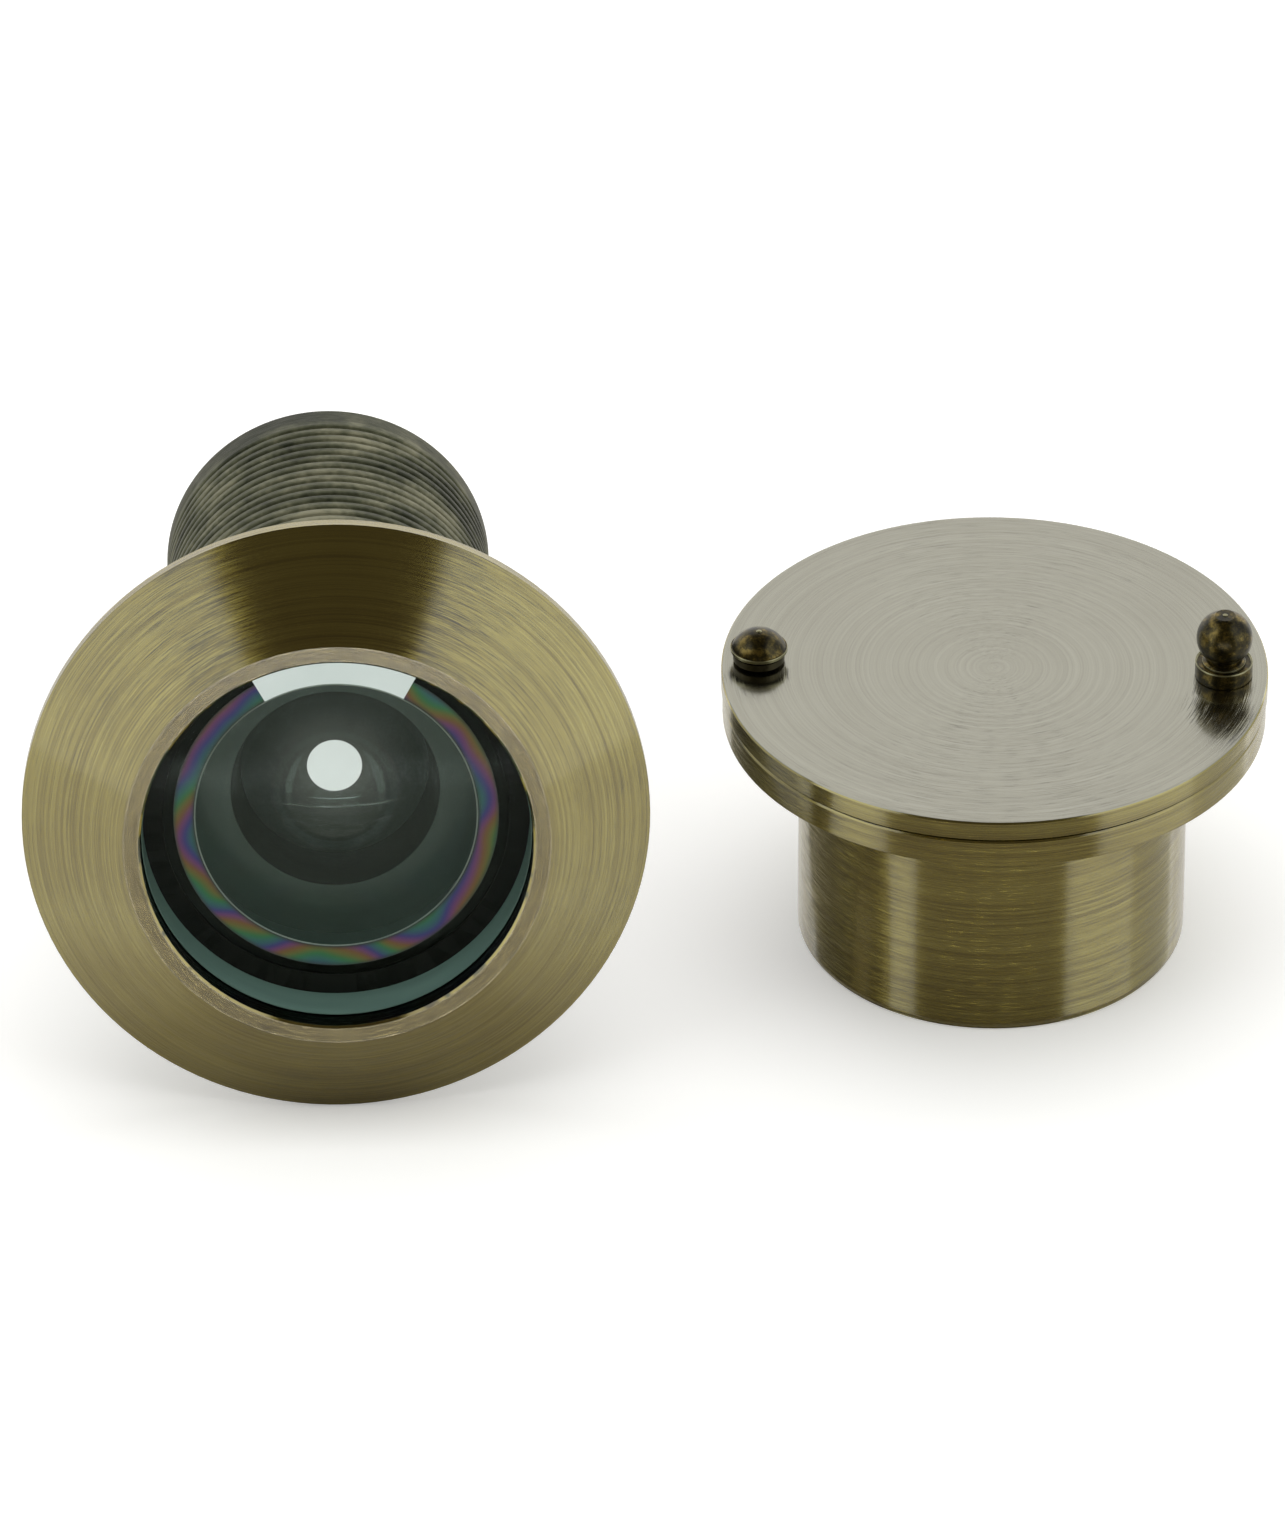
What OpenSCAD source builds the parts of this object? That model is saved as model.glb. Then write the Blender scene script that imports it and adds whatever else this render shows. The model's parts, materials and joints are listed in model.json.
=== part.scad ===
// Door viewer for a 28 mm hole, with its two halves unscrewed and set side by side.
// The outside half lies on its bezel rim and on the end of its barrel. The inside
// half stands on the mouth of its sleeve. Millimetres, +Z up. The origin is the
// centre of the sleeve's mouth, and the outside half looks towards -Y.

/* [Lenses] */
// Radius of the big outside lens
front_lens_r = 13.35; // [11:0.05:18]
// Thickness of the outside lens at its edge
front_lens_t = 3.6; // [2.8:0.1:6]
// Height of the outside lens's crown above its edge
front_lens_crown = 0.5; // [0.3:0.1:1.2]
// Radius of the hollow ground in the back of the outside lens
front_hollow_r = 9.55; // [7:0.05:10.5]
// Depth of the hollow in the outside lens
front_hollow_d = 2.9; // [1.5:0.1:3]
// Radius of the second lens
second_lens_r = 10.9; // [9.4:0.1:13.2]
// Thickness of the second lens
second_lens_t = 4.8; // [4:0.1:7]
// Radius of the hollow ground in the back of the second lens
second_hollow_r = 7.2; // [5:0.1:8]
// Depth of the hollow in the second lens
second_hollow_d = 3.7; // [2:0.1:3.8]
// Radius of the two lenses in the barrel
tube_lens_r = 9.5; // [8:0.1:12]
// Thickness of the third lens in the middle
third_lens_t = 4; // [3:0.1:6]
// Thickness of the eyepiece lens in the middle
eyepiece_lens_t = 4.6; // [3.6:0.1:7]
// Height of each crown of the two barrel lenses
tube_lens_crown = 1.1; // [0.5:0.1:1.4]
// Gap round each lens in its seat
glass_fit = 0.05; // [0.02:0.01:0.1]

/* [Bezel] */
// Radius of the bezel's rim
bezel_r = 21.5; // [19:0.5:30]
// Height of the straight side of the rim
rim_h = 1.05; // [0.6:0.05:1.5]
// Height of the bezel's cone above the rim
cone_h = 5.15; // [4.3:0.05:8]
// Width of the flat lip round the glass
lip_w = 1.2; // [0.8:0.1:2]
// Bevel at the corners of the rim
rim_bevel = 0.12; // [0.05:0.01:0.3]
// Bevel at the inner edge of the lip
lip_bevel = 0.15; // [0.05:0.05:0.3]
// Thickness of metal left under the outside lens
pocket_floor = 0.5; // [0.3:0.1:1]
// Wall of the hub round the barrel and the second lens
hub_wall = 2; // [1:0.1:4]
// Length of the hub behind the rim
hub_l = 9; // [8:0.5:14]
// Thickness of the flat seal under the outside lens
seal_t = 0.2; // [0.1:0.05:0.4]
// Width of the flat seal under the outside lens
seal_w = 1.45; // [0.8:0.05:2]
// Thickness of the gasket behind the bezel
bezel_gasket_t = 0.6; // [0.4:0.1:1]
// Depth of the recess that holds the bezel gasket
gasket_recess = 0.4; // [0.2:0.05:0.5]
// Width of metal left outside the bezel gasket
gasket_inset = 3.4; // [2:0.1:5]
// Depth of the relief grooves beside the gaskets, on the hub and on the sleeve
gasket_groove_d = 0.3; // [0.2:0.05:0.5]
// Gap along the axis between a gasket and its groove's edge
gasket_play = 0.08; // [0.06:0.01:0.2]

/* [Barrel] */
// Length of the barrel's end behind the bezel's rim
barrel_l = 46.8; // [38:0.1:60]
// Wall of the barrel under its thread
barrel_wall = 1.3; // [0.9:0.05:2]
// Depth of the thread
thread_d = 0.65; // [0.4:0.05:0.9]
// Pitch of the thread
thread_pitch = 1.3; // [1:0.1:2]
// Smooth length at the end of the barrel
barrel_lead = 2.4; // [1:0.1:4]
// Bevel at the end of the barrel
barrel_bevel = 0.3; // [0.2:0.1:1]
// Depth that the barrel's front end goes into the hub
barrel_grip = 3.3; // [2:0.1:5]

/* [Barrel fittings] */
// Thickness of the ring that the second lens sits on
seat_ring_t = 1.2; // [0.8:0.1:2]
// Least width of that ring's seat on the barrel's end
seat_ring_ledge = 0.8; // [0.5:0.1:1.2]
// Thickness of the thin stop plate in front of the third lens
stop_t = 0.4; // [0.2:0.1:0.8]
// Radius of the hole in the stop plate
stop_hole_r = 6; // [3:0.1:8]
// Wall of the two spacer tubes
spacer_wall = 1.1; // [0.6:0.1:2]
// Length of the rear spacer tube
rear_spacer_l = 13; // [8:0.5:18]
// Thickness of the ring that closes the barrel
retaining_t = 2; // [1.4:0.1:3]
// Depth of the closing ring inside the barrel's end
retaining_sink = 0.4; // [0.2:0.1:1]
// Radius of the hole in the closing ring
eye_r = 7.2; // [5:0.1:8]
// Width of the two key slots in the closing ring
key_slot_w = 1.2; // [0.8:0.1:2]
// Depth of the two key slots in the closing ring
key_slot_d = 0.8; // [0.5:0.1:1]

/* [Sleeve] */
// Length of the sleeve under its flange
sleeve_l = 17.6; // [14:0.1:26]
// Wall of the sleeve
sleeve_wall = 1.95; // [1.4:0.05:3]
// Gap between the thread's crest and the sleeve's bore
thread_fit = 0.1; // [0.05:0.01:0.2]
// Rounding of the sleeve's outer edge at its mouth
sleeve_round = 0.6; // [0.3:0.1:1]
// Radius of the flange
flange_r = 18.9; // [17.6:0.1:26]
// Thickness of the flange
flange_t = 2.1; // [1.6:0.1:3.5]
// Metal left at the end of the bore, counted below the flange
sleeve_web = 0.6; // [0.3:0.1:2]
// Radius of the hole that the eye looks through
view_hole_r = 9; // [6:0.1:10]
// Thickness of the gasket under the flange
flange_gasket_t = 0.8; // [0.5:0.1:1]
// Width of flange left outside its gasket
flange_gasket_inset = 2; // [1.5:0.1:3]
// Gap between the flange gasket and the outside of the sleeve
gasket_fit = 0.08; // [0.03:0.01:0.1]

/* [Cover] */
// Radius of the cover
cover_r = 19; // [17.6:0.1:26]
// Thickness of the cover
cover_t = 1.5; // [1.2:0.1:2.5]
// Gap between the cover and the flange
cover_gap = 0.15; // [0.1:0.01:0.4]
// Bevel at the cover's edges
cover_bevel = 0.12; // [0.05:0.01:0.3]
// Distance of the rivet from the flange's edge
rivet_inset = 2.5; // [2.5:0.1:3.4]
// Distance of the knob from the flange's edge
knob_inset = 3; // [2.5:0.1:3.4]
// Turn of the line from the rivet to the knob
cover_turn = -3.1; // [-90:0.1:90]
// Gap round and along everything that turns at the rivet
pivot_fit = 0.03; // [0.02:0.01:0.05]

/* [Rivet and knob] */
// Radius of the rivet's and the knob's shanks
shank_r = 1; // [0.7:0.05:1.2]
// Radius of the rivet's head
rivet_head_r = 2; // [1.7:0.05:2.6]
// Height of the straight edge of the rivet's head
rivet_edge_h = 0.3; // [0.15:0.05:0.5]
// Height of the dome of the rivet's head
rivet_dome_h = 1.25; // [0.8:0.05:1.6]
// Width by which the rivet's head covers the spring washers
spring_inset = 0.2; // [0.1:0.05:0.3]
// Thickness of the spring washers' metal
spring_t = 0.25; // [0.15:0.05:0.35]
// Height of one spring washer
spring_h = 0.45; // [0.4:0.05:0.6]
// Radius of the shim under the cover
shim_r = 2.4; // [1.8:0.1:2.8]
// Radius of the knob's collar
knob_collar_r = 2; // [1.6:0.05:2.4]
// Height of the knob's collar
knob_collar_h = 1.2; // [0.8:0.05:2]
// Radius of the knob's ball
knob_ball_r = 1.95; // [1.5:0.05:2.4]
// Gap between the knob's collar and its ball
knob_neck_gap = 0.4; // [0.1:0.05:0.8]
// Radius of the knob's neck
knob_neck_r = 1.3; // [1.15:0.05:1.4]
// Radius of the small turned end on top of the ball
knob_tip_r = 0.78; // [0.5:0.02:0.9]
// Height of the small turned end above the ball
knob_tip_h = 0.12; // [0.05:0.01:0.3]

/* [Layout on the table] */
// Gap between the bezel's rim and the cover's edge
side_gap = 4.95; // [2:0.05:20]
// Distance of the bezel in front of the sleeve's axis
bezel_forward = 17; // [10:0.1:30]
// Turn of the outside half to the right
outside_turn = 1.9; // [0:0.1:5]

/* [Hidden] */

$fn = 128;
LENS_FN = 720; // flat crowns need a fine circle
CUT = 1;       // how far a cutting shape runs past what it cuts

// Colours
SATIN_BRASS = [0.55, 0.48, 0.31];
DARK_BRASS = [0.30, 0.27, 0.20];
GLASS_TINT = [0.45, 0.62, 0.62, 0.6];
BLACK_METAL = [0.08, 0.08, 0.09];
RUBBER = [0.12, 0.12, 0.12];
SPRING_STEEL = [0.45, 0.43, 0.38];

// Outside half, measured along its axis from the back of the bezel's rim
head_h = rim_h + cone_h;
pocket_r = front_lens_r + glass_fit;
lip_r = pocket_r + lip_w;
second_pocket_r = second_lens_r + glass_fit;
lens_back = pocket_floor + seal_t;
second_back = lens_back - second_lens_t;
seat_ring_back = second_back - seat_ring_t;
barrel_bore_r = tube_lens_r + glass_fit;
thread_root_r = barrel_bore_r + barrel_wall;
barrel_r = thread_root_r + thread_d;
seat_ring_r = max(second_lens_r, barrel_bore_r + seat_ring_ledge);
seat_pocket_r = seat_ring_r + glass_fit;
hub_r = max(second_pocket_r, seat_pocket_r, barrel_r) + hub_wall;
hub_groove_r = hub_r - gasket_groove_d;
bezel_gasket_back = gasket_recess - bezel_gasket_t;
seal_bore_r = max(front_lens_r - seal_w, second_pocket_r);
barrel_front = seat_ring_back;
hub_back = min(-hub_l, barrel_front - barrel_grip);
retaining_back = -barrel_l + retaining_sink;
retaining_front = retaining_back + retaining_t;
eyepiece_edge_t = eyepiece_lens_t - 2 * tube_lens_crown;
eyepiece_front = retaining_front + eyepiece_edge_t;
rear_spacer_front = eyepiece_front + rear_spacer_l;
third_edge_t = third_lens_t - 2 * tube_lens_crown;
third_front = rear_spacer_front + third_edge_t;
spacer_bore_r = tube_lens_r - spacer_wall;
stop_spacer_l = tube_lens_crown + glass_fit;
stop_back = third_front + stop_spacer_l;

// Inside half
sleeve_bore_r = barrel_r + thread_fit;
sleeve_r = sleeve_bore_r + sleeve_wall;
bore_l = sleeve_l - sleeve_web;
sleeve_groove_r = sleeve_r - gasket_groove_d;
flange_gasket_top = sleeve_l - gasket_play;
sleeve_groove_z = flange_gasket_top - flange_gasket_t - gasket_play;
flange_top = sleeve_l + flange_t;
cover_bottom = flange_top + cover_gap;
cover_top = cover_bottom + cover_t;
rivet_ring_r = min(cover_r, flange_r) - rivet_inset;
knob_ring_r = min(cover_r, flange_r) - knob_inset;
spring_r = rivet_head_r - spring_inset;
spring_bottom = cover_top + pivot_fit;
rivet_head_bottom = spring_bottom + 2 * spring_h;
knob_ball_z = knob_collar_h + knob_neck_gap + sqrt(pow(knob_ball_r, 2) - pow(knob_neck_r, 2));

// How the outside half lies on the table: rim and barrel end both touch it
outside_tilt = atan((bezel_r - barrel_r) / (barrel_l - barrel_bevel + rim_bevel));
outside_z = bezel_r * cos(outside_tilt) - rim_bevel * sin(outside_tilt);
outside_x = -(cover_r + side_gap + bezel_r);

// Puts a piece of the outside half in its place; its own +Z looks out of the door
module outside_half() {
    translate([outside_x, -bezel_forward, outside_z])
        rotate([90 - outside_tilt, 0, outside_turn])
            children();
}

// Moves a piece to the rivet's or the knob's place on the cover
module at_rivet() {
    rotate([0, 0, cover_turn + 180]) translate([rivet_ring_r, 0, 0]) children();
}

module at_knob() {
    rotate([0, 0, cover_turn]) translate([knob_ring_r, 0, 0]) children();
}

// Radius of the sphere whose cap has this edge radius and height
function cap_sphere_r(edge_r, height) = (pow(edge_r, 2) + pow(height, 2)) / (2 * height);

// Flat ring from z0 to z1
module ring(outer_r, inner_r, z0, z1) {
    rotate_extrude()
        translate([inner_r, z0]) square([outer_r - inner_r, z1 - z0]);
}

// Half outline of a lens: flat rim from z0 to z1, crowns of radius crown_r on it
module lens_outline(edge_r, crown_r, z0, z1, crown_top, crown_bottom) {
    translate([0, z0]) square([edge_r, z1 - z0]);
    if (crown_top > 0)
        intersection() {
            translate([0, z1]) square([crown_r, crown_top]);
            translate([0, z1 + crown_top - cap_sphere_r(crown_r, crown_top)])
                circle(r = cap_sphere_r(crown_r, crown_top), $fn = LENS_FN);
        }
    if (crown_bottom > 0)
        intersection() {
            translate([0, z0 - crown_bottom]) square([crown_r, crown_bottom]);
            translate([0, z0 - crown_bottom + cap_sphere_r(crown_r, crown_bottom)])
                circle(r = cap_sphere_r(crown_r, crown_bottom), $fn = LENS_FN);
        }
}

// Lens with a spherical hollow ground in its back face at z0
module hollow_lens(edge_r, z0, z1, crown, hollow_r, hollow_d) {
    rotate_extrude()
        difference() {
            lens_outline(edge_r, edge_r, z0, z1, crown, 0);
            translate([0, z0 + hollow_d - cap_sphere_r(hollow_r, hollow_d)])
                circle(r = cap_sphere_r(hollow_r, hollow_d), $fn = LENS_FN);
        }
}

// Conical face ring with its rim, lens pocket and hub
module bezel() {
    color(SATIN_BRASS) outside_half()
        rotate_extrude()
            polygon([
                [barrel_r, hub_back], [hub_r, hub_back], [hub_r, bezel_gasket_back - gasket_play],
                [hub_groove_r, bezel_gasket_back - gasket_play], [hub_groove_r, gasket_recess],
                [bezel_r - gasket_inset, gasket_recess], [bezel_r - gasket_inset, 0],
                [bezel_r - rim_bevel, 0], [bezel_r, rim_bevel], [bezel_r, rim_h],
                [lip_r, head_h], [pocket_r + lip_bevel, head_h],
                [pocket_r, head_h - lip_bevel], [pocket_r, pocket_floor],
                [second_pocket_r, pocket_floor], [second_pocket_r, second_back],
                [seat_pocket_r, second_back], [seat_pocket_r, barrel_front],
                [barrel_r, barrel_front]
            ]);
}

// Thin rubber ring between the bezel and the door
module bezel_gasket() {
    color(RUBBER) outside_half()
        ring(bezel_r - gasket_inset, hub_groove_r, bezel_gasket_back, gasket_recess);
}

// Threaded tube; each turn is a ring with sloping flanks and a flat crest
module barrel() {
    thread_back = -barrel_l + barrel_lead;
    turns = floor((hub_back - thread_back) / thread_pitch);
    flank = thread_pitch * 0.25;
    crest = thread_pitch * 0.36;
    color(DARK_BRASS) outside_half()
        rotate_extrude()
            polygon([
                [barrel_bore_r, -barrel_l],
                [barrel_r - barrel_bevel, -barrel_l],
                [barrel_r, -barrel_l + barrel_bevel],
                for (i = [0 : turns - 1], point = [
                    [barrel_r, 0], [thread_root_r, flank],
                    [thread_root_r, thread_pitch - crest - flank],
                    [barrel_r, thread_pitch - crest]
                ]) [point[0], thread_back + i * thread_pitch + point[1]],
                [barrel_r, barrel_front],
                [barrel_bore_r, barrel_front]
            ]);
}

// Flat black seal that the outside lens sits on
module front_seal() {
    color(BLACK_METAL) outside_half()
        ring(front_lens_r, seal_bore_r, pocket_floor, lens_back);
}

module front_lens() {
    color(GLASS_TINT) outside_half()
        hollow_lens(front_lens_r, lens_back, lens_back + front_lens_t, front_lens_crown,
            front_hollow_r, front_hollow_d);
}

module second_lens() {
    color(GLASS_TINT) outside_half()
        hollow_lens(second_lens_r, second_back, lens_back, 0, second_hollow_r, second_hollow_d);
}

// Black ring on the barrel's front end that carries the second lens
module lens_seat_ring() {
    color(BLACK_METAL) outside_half()
        ring(seat_ring_r, spacer_bore_r, seat_ring_back, second_back);
}

// Long spacer tube between the seat ring and the stop plate
module front_spacer() {
    color(BLACK_METAL) outside_half()
        ring(tube_lens_r, spacer_bore_r, stop_back + stop_t, seat_ring_back);
}

// Thin plate with the light stop's hole, on a short foot round the third lens's crown
module stop_plate() {
    color(BLACK_METAL) outside_half() {
        ring(tube_lens_r, stop_hole_r, stop_back, stop_back + stop_t);
        ring(tube_lens_r, spacer_bore_r, third_front, stop_back);
    }
}

module third_lens() {
    color(GLASS_TINT) outside_half()
        rotate_extrude()
            lens_outline(tube_lens_r, spacer_bore_r, rear_spacer_front, third_front,
                tube_lens_crown, tube_lens_crown);
}

// Spacer tube between the third lens and the eyepiece lens
module rear_spacer() {
    color(BLACK_METAL) outside_half()
        ring(tube_lens_r, spacer_bore_r, eyepiece_front, rear_spacer_front);
}

module eyepiece_lens() {
    color(GLASS_TINT) outside_half()
        rotate_extrude()
            lens_outline(tube_lens_r, spacer_bore_r, retaining_front, eyepiece_front,
                tube_lens_crown, tube_lens_crown);
}

// Ring screwed into the barrel's end, with two key slots and a hollow for the crown
module retaining_ring() {
    color(DARK_BRASS) outside_half()
        difference() {
            ring(tube_lens_r, eye_r, retaining_back, retaining_front);
            translate([0, 0, retaining_front - tube_lens_crown - glass_fit])
                cylinder(r = spacer_bore_r, h = tube_lens_crown + glass_fit + CUT);
            translate([-barrel_r, -key_slot_w / 2, retaining_back - CUT])
                cube([2 * barrel_r, key_slot_w, key_slot_d + CUT]);
        }
}

// Sleeve and flange, turned in one piece
module sleeve() {
    color(SATIN_BRASS)
        difference() {
            union() {
                rotate_extrude()
                    union() {
                        translate([0, sleeve_round])
                            square([sleeve_r, sleeve_groove_z - sleeve_round]);
                        square([sleeve_r - sleeve_round, sleeve_groove_z]);
                        square([sleeve_groove_r, sleeve_l]);
                        intersection() {
                            translate([sleeve_r - sleeve_round, sleeve_round])
                                circle(r = sleeve_round, $fn = 48);
                            square([sleeve_r, sleeve_round]);
                        }
                    }
                rotate_extrude()
                    polygon([
                        [0, sleeve_l], [flange_r - cover_bevel, sleeve_l],
                        [flange_r, sleeve_l + cover_bevel], [flange_r, flange_top - cover_bevel],
                        [flange_r - cover_bevel, flange_top], [0, flange_top]
                    ]);
            }
            translate([0, 0, -CUT]) cylinder(r = sleeve_bore_r, h = bore_l + CUT);
            cylinder(r = view_hole_r, h = flange_top + CUT);
            at_rivet() translate([0, 0, sleeve_l - CUT])
                cylinder(r = shank_r, h = flange_t + 2 * CUT, $fn = 48);
        }
}

// Rubber ring between the flange and the door
module flange_gasket() {
    color(RUBBER)
        ring(flange_r - flange_gasket_inset, sleeve_r + gasket_fit,
            flange_gasket_top - flange_gasket_t, flange_gasket_top);
}

// Thin washer that keeps the cover off the flange
module pivot_shim() {
    color(SPRING_STEEL) at_rivet()
        ring(shim_r, shank_r, flange_top, cover_bottom - pivot_fit);
}

// Domed rivet: fixed in the flange, free in the cover
module pivot_rivet() {
    dome_r = cap_sphere_r(rivet_head_r, rivet_dome_h);
    color(DARK_BRASS) at_rivet() {
        translate([0, 0, sleeve_l])
            cylinder(r = shank_r, h = rivet_head_bottom - sleeve_l + rivet_edge_h / 2, $fn = 48);
        translate([0, 0, rivet_head_bottom])
            rotate_extrude($fn = 96) {
                square([rivet_head_r, rivet_edge_h]);
                intersection() {
                    translate([0, rivet_edge_h]) square([rivet_head_r, rivet_dome_h]);
                    translate([0, rivet_edge_h + rivet_dome_h - dome_r])
                        circle(r = dome_r, $fn = 192);
                }
            }
    }
}

// Two dished washers set rim to rim, pressing the cover on its shim
module pivot_springs() {
    bore_r = shank_r + pivot_fit;
    color(SPRING_STEEL) at_rivet() translate([0, 0, spring_bottom])
        rotate_extrude($fn = 96) {
            polygon([[bore_r, 0], [bore_r, spring_t], [spring_r, spring_h],
                [spring_r, spring_h - spring_t]]);
            polygon([[bore_r, 2 * spring_h], [bore_r, 2 * spring_h - spring_t],
                [spring_r, spring_h], [spring_r, spring_h + spring_t]]);
        }
}

// Round cover with the rivet's running hole and the knob's hole
module cover() {
    color(SATIN_BRASS)
        difference() {
            rotate_extrude()
                polygon([
                    [0, cover_bottom], [cover_r - cover_bevel, cover_bottom],
                    [cover_r, cover_bottom + cover_bevel], [cover_r, cover_top - cover_bevel],
                    [cover_r - cover_bevel, cover_top], [0, cover_top]
                ]);
            at_rivet() translate([0, 0, cover_bottom - CUT])
                cylinder(r = shank_r + pivot_fit, h = cover_t + 2 * CUT, $fn = 48);
            at_knob() translate([0, 0, cover_bottom - CUT])
                cylinder(r = shank_r, h = cover_t + 2 * CUT, $fn = 48);
        }
}

// Turned knob: tail through the cover, collar, neck, ball and a small flat tip
module knob() {
    tip_z = knob_ball_z + sqrt(pow(knob_ball_r, 2) - pow(knob_tip_r, 2));
    color(DARK_BRASS) at_knob() {
        translate([0, 0, cover_bottom]) cylinder(r = shank_r, h = cover_t + CUT / 2, $fn = 48);
        translate([0, 0, cover_top]) {
            cylinder(r = knob_collar_r, h = knob_collar_h, $fn = 96);
            cylinder(r = knob_neck_r, h = knob_ball_z, $fn = 96);
            translate([0, 0, knob_ball_z]) sphere(r = knob_ball_r, $fn = 96);
            translate([0, 0, knob_ball_z])
                cylinder(r = knob_tip_r, h = tip_z - knob_ball_z + knob_tip_h, $fn = 96);
        }
    }
}

bezel();
bezel_gasket();
barrel();
front_seal();
front_lens();
second_lens();
lens_seat_ring();
front_spacer();
stop_plate();
third_lens();
rear_spacer();
eyepiece_lens();
retaining_ring();
sleeve();
flange_gasket();
pivot_shim();
pivot_rivet();
pivot_springs();
cover();
knob();
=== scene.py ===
# %% [markdown]
# # A brass door viewer in two halves
# A door viewer is a small telescope turned round. The outside half carries the lenses in a
# threaded barrel behind a wide conical bezel. The inside half is a sleeve with a flange,
# and a round cover that swings aside on a rivet. Here they lie unscrewed on a table.
# The design model gives every size and place, so this lesson only measures it, makes the
# finishes, and adds the fine shapes that a lathe and a die leave on the real pieces.

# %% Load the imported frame
import json
import math

import bmesh
import bpy
from mathutils import Matrix, Vector


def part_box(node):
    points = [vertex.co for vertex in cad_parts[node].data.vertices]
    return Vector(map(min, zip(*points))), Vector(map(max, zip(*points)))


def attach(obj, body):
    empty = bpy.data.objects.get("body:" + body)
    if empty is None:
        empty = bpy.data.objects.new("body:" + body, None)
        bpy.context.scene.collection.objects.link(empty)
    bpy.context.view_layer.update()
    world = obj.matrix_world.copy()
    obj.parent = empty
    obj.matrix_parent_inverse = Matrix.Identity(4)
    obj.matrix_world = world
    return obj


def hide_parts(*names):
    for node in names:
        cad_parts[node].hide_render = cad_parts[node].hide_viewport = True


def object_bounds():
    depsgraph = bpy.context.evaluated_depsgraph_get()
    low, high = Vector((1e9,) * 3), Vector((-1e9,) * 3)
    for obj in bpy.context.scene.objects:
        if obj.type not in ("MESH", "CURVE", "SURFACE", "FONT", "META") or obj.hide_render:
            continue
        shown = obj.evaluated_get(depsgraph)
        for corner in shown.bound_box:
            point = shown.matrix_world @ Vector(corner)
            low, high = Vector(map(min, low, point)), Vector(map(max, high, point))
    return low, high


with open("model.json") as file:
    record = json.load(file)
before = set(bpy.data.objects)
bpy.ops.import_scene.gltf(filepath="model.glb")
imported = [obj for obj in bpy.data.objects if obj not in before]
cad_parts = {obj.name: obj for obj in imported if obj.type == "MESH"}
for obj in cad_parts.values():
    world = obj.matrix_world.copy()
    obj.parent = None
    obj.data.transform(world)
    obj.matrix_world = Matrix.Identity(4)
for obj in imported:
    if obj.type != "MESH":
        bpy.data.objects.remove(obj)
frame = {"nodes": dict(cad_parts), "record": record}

MM = 0.001
FLAT_SLACK = 0.005 * MM  # points this close to a height count as lying on that flat
cad_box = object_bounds()
parts = frame["nodes"]
print("pieces in the design:", ", ".join(sorted(parts)))

# %% [markdown]
# ## Two axes rule everything
# Each half is turned on a lathe, so each has one axis. The sleeve's axis is the frame's own
# +Z. The barrel lies tilted, and its axis is read from the mounts in the record: one mount
# runs along the hub, and one lies on the back face of the bezel, which is the zero plane.

# %% Find the axis of each half
mounts = {mount["name"]: mount for mount in frame["record"]["mounts"]}


class Spindle:
    """The axis of a turned half: a centre, a direction, and a frame to build pieces in."""

    def __init__(self, centre, axis):
        self.centre = Vector(centre)
        self.axis = Vector(axis).normalized()
        side = Vector((0, 0, 1)).cross(self.axis)
        self.side = side.normalized() if side.length > 0.1 else Vector((1, 0, 0))
        self.up = self.axis.cross(self.side)
        turn = Matrix((self.side, self.up, self.axis)).transposed().to_4x4()
        self.matrix = Matrix.Translation(self.centre) @ turn

    def places(self, name):
        """Distance along the axis and radius of every point of a piece."""
        arms = [v.co - self.centre for v in parts[name].data.vertices]
        along = [arm.dot(self.axis) for arm in arms]
        return [(a, (arm - self.axis * a).length) for arm, a in zip(arms, along)]

    def measure(self, name):
        """Lowest and highest place along the axis and smallest and largest radius of a piece."""
        along, radii = zip(*self.places(name))
        return min(along), max(along), min(radii), max(radii)

    def flat_radii(self, name, height):
        """Smallest and largest radius of the flat of a piece at a height along the axis."""
        radii = [r for a, r in self.places(name) if abs(a - height) < FLAT_SLACK]
        return min(radii), max(radii)


look_out = -Vector(mounts["hub_outside"]["axis"])
hub_middle = Vector(mounts["hub_outside"]["pos_m"])
seat_point = Vector(mounts["bezel_seat"]["pos_m"])
outside = Spindle(hub_middle + look_out * (seat_point - hub_middle).dot(look_out), look_out)
inside = Spindle((0, 0, 0), (0, 0, 1))

hub_back, lip_z, _, rim_r = outside.measure("bezel")
barrel_back, barrel_front, barrel_bore_r, crest_r = outside.measure("barrel")
glass_back, glass_top, _, glass_r = outside.measure("front_lens")
lens2_back, _, _, lens2_r = outside.measure("second_lens")
_, cover_top, _, _ = inside.measure("cover")
sleeve_bore_r = mounts["sleeve_bore"]["dims"]["r_mm"] * MM
print(f"bezel radius {rim_r / MM:.2f} mm, lip {lip_z / MM:.2f} mm above the door face")
print(f"barrel ends {-barrel_back / MM:.1f} mm behind it, crest radius {crest_r / MM:.2f} mm")

# %% [markdown]
# ## Writing shader maths as Python
# A finish is a sum of small formulas: rings round an axis, blotches, wear. Node by node that
# is long to read. `Wire` wraps one socket, so that `1 - mask * 0.5` adds its own Math nodes,
# and `Finish` makes every other node from its type, its settings and its inputs.

# %% A wire and a finish


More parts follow.
